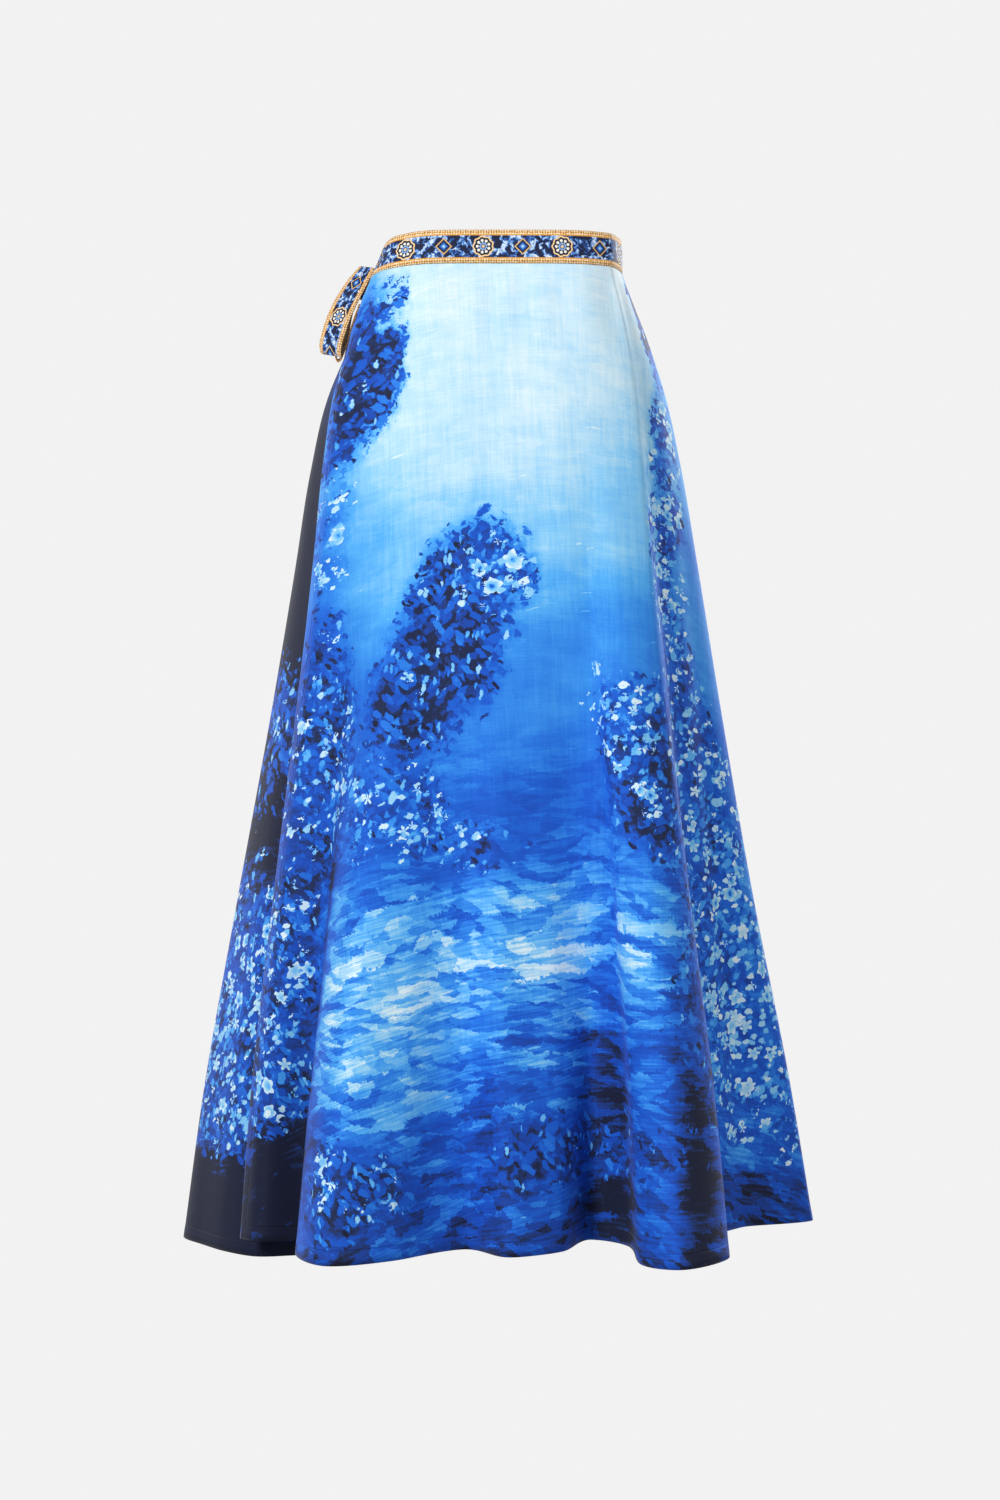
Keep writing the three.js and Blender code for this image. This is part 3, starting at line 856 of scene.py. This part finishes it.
    def pushed(self, cut, size, scale, detail, roughness, reach):
        """Place on the cut cloth, pushed about raggedly to suit dabs or strokes of this size."""
        colour = self.noise(cut, scale / size, detail, roughness, "Color")
        return self.moved(cut, colour, size * reach)

    def ramp(self, value, stops):
        """Colour from a row of places and hex codes."""
        node = self.tree.nodes.new("ShaderNodeValToRGB")
        self.put(node.inputs[0], value)
        elements = node.color_ramp.elements
        for element, (place, code) in zip(elements, (stops[0], stops[-1])):
            element.position = place
            element.color = linear(code)
        for place, code in stops[1:-1]:
            elements.new(place).color = linear(code)
        return node.outputs[0]

    def bump(self, height, distance, before=None):
        node = self.tree.nodes.new("ShaderNodeBump")
        node.inputs["Strength"].default_value = 1.0
        node.inputs["Distance"].default_value = distance
        self.put(node.inputs["Height"], height)
        if before is not None:
            self.put(node.inputs["Normal"], before)
        return node.outputs[0]

    def finish(self, colour, normal, roughness):
        """Cloth with this colour and relief."""
        self.put(self.shader.inputs["Base Color"], colour)
        self.put(self.shader.inputs["Normal"], normal)
        self.shader.inputs["Roughness"].default_value = roughness
        self.shader.inputs["Specular IOR Level"].default_value = SPECULAR
        self.shader.inputs["Sheen Weight"].default_value = SHEEN["weight"]
        self.shader.inputs["Sheen Roughness"].default_value = SHEEN["roughness"]
        return self.material


def weave(n, cut):
    """Plain weave with a thicker thread here and there, around 0."""
    both = n.math("ADD", n.cloud(cut, **SLUBS_ACROSS), n.cloud(cut, **SLUBS_ALONG))
    return n.math("SUBTRACT", both, 1.0)


def stitched(n, threads, beside, half, depth):
    """Relief of the threads with a line of stitches, where beside is 0."""
    return n.bump(n.step(beside, 0.0, half), depth, n.bump(threads, THREAD_DEPTH))


def dabs(n, cut, painted, drift, share, size, stretch, turn, tones, radius):
    """Small brush dabs over what is painted, each of its own tone."""
    zone = n.math("MULTIPLY", drift, share)
    pushed = n.pushed(cut, size, **DAB_PUSH)
    place = (turn * DAB_PLACE[0], turn * DAB_PLACE[1], 0)
    flat = n.mapped(pushed, stretch, 1 / stretch, turn, place)
    distance, own, other, _ = n.cells(flat, 1 / size)
    there = n.step(n.math("SUBTRACT", zone, other), 0.0, DAB_BLUR)
    inside = n.step(n.math("SUBTRACT", n.blend(own, *radius), distance), -DAB_BLUR, DAB_BLUR)
    return n.blend(n.math("MULTIPLY", there, inside), painted, n.blend(own, *tones))


def blossoms(n, cut, painted, drift):
    """Loose five-petalled blossoms with a darker eye."""
    size = BLOSSOM["size"]
    zone = n.math("MULTIPLY", drift, BLOSSOM["share"])
    pushed = n.pushed(cut, size, **BLOSSOM_PUSH)
    distance, own, other, middle = n.cells(pushed, 1 / size)
    x, y = n.parts(n.minus(pushed, middle))
    turn = n.math("MULTIPLY_ADD", own, BLOSSOM["turning"], n.math("ARCTAN2", y, x))
    petals = n.math("COSINE", n.math("MULTIPLY", turn, BLOSSOM["petals"]))
    edge = n.math("ADD", n.blend(own, *BLOSSOM_RADIUS), n.math("MULTIPLY", petals, BLOSSOM["notch"]))
    there = n.step(n.math("SUBTRACT", zone, other), 0.0, DAB_BLUR)
    inside = n.step(n.math("SUBTRACT", edge, distance), *BLOSSOM_RIM)
    petal = n.blend(n.step(distance, *PETAL_STEP), *PETAL_TONES)
    tone = n.blend(n.step(distance, *EYE_STEP), EYE_TONE, petal)
    return n.blend(n.math("MULTIPLY", there, inside), painted, tone)


def brushed(n, cut, wide, tall, turn):
    """Long flat brush strokes, each of its own tone, around 0."""
    pushed = n.pushed(cut, tall, **STROKE_PUSH)
    bent = n.moved(pushed, n.noise(cut, **STROKE_BEND), STROKE_BEND_REACH)
    own = n.cells(n.mapped(bent, wide, tall, turn), 1.0)[1]
    return n.centred(own)


def ground(n, cut):
    """Tone of the painted ground, over the panel's tones and painted shade: washes, strokes, pale glints and
    fine fibres.
    """
    rough = n.attribute("rough")
    strokes = n.math("ADD", brushed(n, cut, **LONG_STROKES), brushed(n, cut, **SHORT_STROKES))
    streak = n.centred(n.cloud(cut, **STREAK))
    strokes = n.math("MULTIPLY", strokes, CHANGE["strokes"])
    strokes = n.math("ADD", strokes, n.math("MULTIPLY", streak, CHANGE["streak"]))
    wash = n.centred(n.cloud(cut, **WASH))
    painted = n.math("MULTIPLY_ADD", wash, CHANGE["wash"], n.attribute("tone"))
    painted = n.math("MULTIPLY_ADD", strokes, n.blend(rough, *STROKE_CHANGE), painted)
    glint = n.step(n.cloud(cut, **GLINT), *GLINT_STEP)
    painted = n.math("MULTIPLY_ADD", glint, n.blend(rough, *GLINT_CHANGE), painted)
    fibres = n.centred(n.cloud(cut, **FIBRES))
    return n.math("MULTIPLY_ADD", fibres, CHANGE["fibres"], painted)


def leaves(n, cut, painted):
    """Drifts of leaf dabs over a darkened ground."""
    leaf = n.attribute("leaf")
    ragged = n.centred(n.noise(cut, **LEAF_EDGE))
    leaf = n.math("MULTIPLY_ADD", n.math("MULTIPLY", ragged, leaf), LEAF_RAGGEDNESS, leaf)
    drift = n.step(leaf, *LEAF_STEP)
    shaded = n.math("MULTIPLY", painted, LEAF_SHADOW)
    painted = n.blend(n.math("MULTIPLY", drift, LEAF_SHADOW), painted, shaded)
    painted = n.blend(n.step(leaf, *DEEP_STEP), painted, DEEP_TONE)
    for row in LEAF_DABS:
        painted = dabs(n, cut, painted, drift, *row)
    return painted


def flowers(n, cut, painted):
    """Drifts of blossoms, with dabs under and over them."""
    bloom = n.attribute("bloom")
    ragged = n.centred(n.noise(n.mapped(cut, 1, 1, move=BLOOM_PLACE), **BLOOM_EDGE))
    bloom = n.math("MULTIPLY_ADD", n.math("MULTIPLY", ragged, bloom), BLOOM_RAGGEDNESS, bloom)
    drift = n.step(bloom, *BLOOM_STEP)
    painted = n.blend(n.math("MULTIPLY", drift, BLOOM_GROUND["share"]), painted, BLOOM_GROUND["tone"])
    painted = dabs(n, cut, painted, drift, *DABS_UNDER_BLOSSOMS)
    painted = blossoms(n, cut, painted, drift)
    return dabs(n, cut, painted, drift, *DABS_OVER_BLOSSOMS)


def skirt_material():
    """Painterly print: washes and brush strokes, with drifts of leaf and blossom dabs over them. The panel
    tones under it also hold patches of painted shade in fold valleys and beside the front wrap's free edge.
    """
    n = Nodes("printed_skirt_cloth")
    cut = n.cut()
    painted = flowers(n, cut, leaves(n, cut, ground(n, cut)))
    threads = weave(n, cut)
    colour = n.ramp(n.math("MULTIPLY_ADD", threads, CHANGE["threads"], painted), PAINT)
    wrong_side = n.math("MULTIPLY", n.attribute("inside"), WRONG_SIDE_SHARE)
    colour = n.colour_mix(wrong_side, colour, linear(WRONG_SIDE))
    beside = n.off(n.attribute("from_hem"), HEM_FOLD * MM)
    relief = stitched(n, threads, beside, HEM_STITCH["half"], HEM_STITCH["depth"])
    return n.finish(colour, relief, SKIRT_ROUGHNESS)


def rosette(n, colour, x, y):
    """Plain round ornament: a pale eye, a blue ring, a wreath of dots and a scalloped gold rim."""
    radius = n.length(x, y)
    turn = n.math("ARCTAN2", y, x)
    scallop = n.math("MULTIPLY", n.math("COSINE", n.math("MULTIPLY", turn, ROSETTE_DOTS)), SCALLOP)
    share = n.math("ADD", n.math("DIVIDE", radius, ROSETTE), scallop)
    rings = n.ramp(share, ROSETTE_RINGS)
    around = n.math("MULTIPLY", turn, ROSETTE_DOTS / (2 * math.pi))
    slip = n.centred(n.math("FRACT", around))
    slip = n.math("MULTIPLY", slip, 2 * math.pi * DOT_RADIUS / ROSETTE_DOTS)
    dot = n.length(slip, n.math("SUBTRACT", radius, DOT_RADIUS))
    rings = n.colour_mix(n.step(dot, DOT, DOT * DOT_CORE), rings, linear(PEARL))
    return n.colour_mix(n.step(share, *MOTIF_RIM), colour, rings)


def lozenge(n, colour, x, y):
    """Small plain lozenge with a gold outline."""
    spread = n.math("ADD", n.math("ABSOLUTE", x), n.math("ABSOLUTE", y))
    share = n.math("DIVIDE", spread, LOZENGE)
    return n.colour_mix(n.step(share, *MOTIF_RIM), colour, n.ramp(share, LOZENGE_RINGS))


def beads(n, cut, along, from_middle):
    """Rows of small gold beads."""
    x = n.centred(n.math("FRACT", n.math("DIVIDE", along, BEAD)))
    row = n.math("DIVIDE", n.math("SUBTRACT", from_middle, EDGE_FROM), BEAD)
    y = n.centred(n.math("FRACT", row))
    worn = n.centred(n.noise(cut, **BEAD_WEAR))
    return n.ramp(n.math("MULTIPLY_ADD", worn, BEAD_WEAR_SHARE, n.length(x, y)), BEAD_TONES)


def band_material():
    """Border print: gold beaded edges and a navy ground with pale flecks, rosettes and lozenges."""
    n = Nodes("printed_band_cloth")
    cut = n.cut()
    along, across = n.parts(cut)
    from_middle = n.math("ABSOLUTE", across)
    pushed = n.moved(cut, n.noise(cut, **FLECK_PUSH), FLECK_REACH)
    colour = n.ramp(n.noise(pushed, **FLECKS), FLECK_TONES)
    place = n.math("DIVIDE", along, MOTIF_EVERY)
    x = n.math("MULTIPLY", n.centred(n.math("FRACT", place)), MOTIF_EVERY)
    half_count = n.math("MULTIPLY", n.math("FLOOR", place), 0.5)
    odd = n.math("GREATER_THAN", n.math("FRACT", half_count), 0.25)
    colour = n.colour_mix(odd, lozenge(n, colour, x, across), rosette(n, colour, x, across))
    in_edge = n.step(from_middle, EDGE_FROM - EDGE_BLUR, EDGE_FROM + EDGE_BLUR)
    colour = n.colour_mix(in_edge, colour, beads(n, cut, along, from_middle))
    colour = n.colour_mix(n.step(n.off(from_middle, EDGE_FROM), *EDGE_LINE), colour, linear(GOLD))
    beside = n.off(from_middle, BAND_STITCH["at"])
    relief = stitched(n, weave(n, cut), beside, BAND_STITCH["half"], BAND_STITCH["depth"])
    return n.finish(colour, relief, BAND_ROUGHNESS)


def dome_profile():
    """Distance from the axis and height of the backdrop, from the middle of the floor to the top."""
    floor, reach, bend, top, pole = (DOME[key] for key in ("floor", "reach", "bend", "top", "pole"))
    turns = np.linspace(0, math.pi / 2, DOME["steps"] + 1)
    profile = [(pole, floor)]
    profile += [(reach - bend + bend * math.sin(t), floor + bend - bend * math.cos(t)) for t in turns]
    profile += [(reach * math.cos(t), floor + bend + top * math.sin(t)) for t in turns[1:-1]]
    return profile + [(pole, floor + bend + top)]


def backdrop():
    """Pale seamless floor that turns up into a dome. The camera sees it, but it lights nothing."""
    profile = dome_profile()
    around = np.linspace(0, 2 * math.pi, DOME["sides"], endpoint=False)
    points = [(r * math.cos(a), r * math.sin(a), z) for r, z in profile for a in around]
    index = np.arange(len(points)).reshape(len(profile), DOME["sides"])
    right = np.roll(index, -1, axis=1)
    sides = np.stack([index[:-1], right[:-1], right[1:], index[1:]], -1).reshape(-1, 4)
    mesh = bpy.data.meshes.new("backdrop")
    mesh.from_pydata(points, [], sides.tolist() + [index[0, ::-1].tolist(), index[-1].tolist()])
    mesh.shade_smooth()
    n = Nodes("pale_studio_paper")
    n.shader.inputs["Base Color"].default_value = (0, 0, 0, 1)
    n.shader.inputs["Specular IOR Level"].default_value = 0.0
    n.shader.inputs["Emission Color"].default_value = linear(PAPER)
    n.shader.inputs["Emission Strength"].default_value = 1.0
    mesh.materials.append(n.material)
    paper = linked("backdrop", mesh)
    paper.visible_diffuse = False
    paper.visible_glossy = False
    paper.visible_shadow = False


def area_light(name, place, target, width, power):
    """Round soft light that faces its target."""
    data = bpy.data.lights.new(name, "AREA")
    data.shape = "DISK"
    data.size = width
    data.energy = power
    lamp = linked(name, data)
    lamp.location = place
    towards = Vector(target) - Vector(place)
    lamp.rotation_euler = towards.to_track_quat("-Z", "Y").to_euler()


def air():
    """Even pale light from all round."""
    world = bpy.data.worlds.new("studio_air")
    world.use_nodes = True
    background = world.node_tree.nodes["Background"]
    background.inputs[0].default_value = linear(PAPER)
    background.inputs[1].default_value = AIR_STRENGTH
    bpy.context.scene.world = world
    bpy.context.scene.view_settings.view_transform = "Standard"


def photo_camera():
    """Level camera at the photograph's place."""
    data = bpy.data.cameras.new("photo_camera")
    data.sensor_width = SENSOR
    data.lens = FOCAL_PIXELS / PHOTO_LONG_SIDE * SENSOR
    camera = linked("photo_camera", data)
    camera.location = (0, -CAMERA_DISTANCE, CAMERA_HEIGHT)
    camera.rotation_euler = (math.pi / 2, 0, 0)
    bpy.context.scene.camera = camera


def dress(piece, node, material):
    """Puts a finished piece in a CAD node's place."""
    piece.data.materials.append(material)
    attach(piece, "root")
    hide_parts(node)


def skirt():
    """The three panels."""
    cloth = skirt_material()
    front = panel("front_wrap_cloth", 0, RIGHT_SEAM, COLUMNS["front_wrap"],
                  FRONT_TONES, FRONT_PLANTS, "first")
    dress(front, "front_wrap", cloth)
    back = panel("back_cloth", RIGHT_SEAM, LEFT_SEAM, COLUMNS["back"],
                 BACK_TONES, BACK_PLANTS)
    dress(back, "back_panel", cloth)
    under = panel("front_under_cloth", LEFT_SEAM, LAST_FOLD, COLUMNS["front_under"],
                  UNDER_TONES, UNDER_PLANTS, "last")
    dress(under, "front_under", cloth)


def band_and_tie():
    """The waistband and the bow that its ends are tied in."""
    cloth = band_material()
    dress(waistband(), "waistband", cloth)
    dress(knot(), "tie_knot", cloth)
    dress(ribbon("front_loop_cloth", FRONT_LOOP), "tie_loop_front", cloth)
    dress(ribbon("back_loop_cloth", BACK_LOOP), "tie_loop_back", cloth)
    dress(loose_end("long_end_cloth", *LONG_END), "tie_end_long", cloth)
    dress(loose_end("short_end_cloth", *SHORT_END), "tie_end_short", cloth)


backdrop()
for light, settings in LIGHTS.items():
    area_light(light, *settings)
air()
photo_camera()
skirt()
band_and_tie()
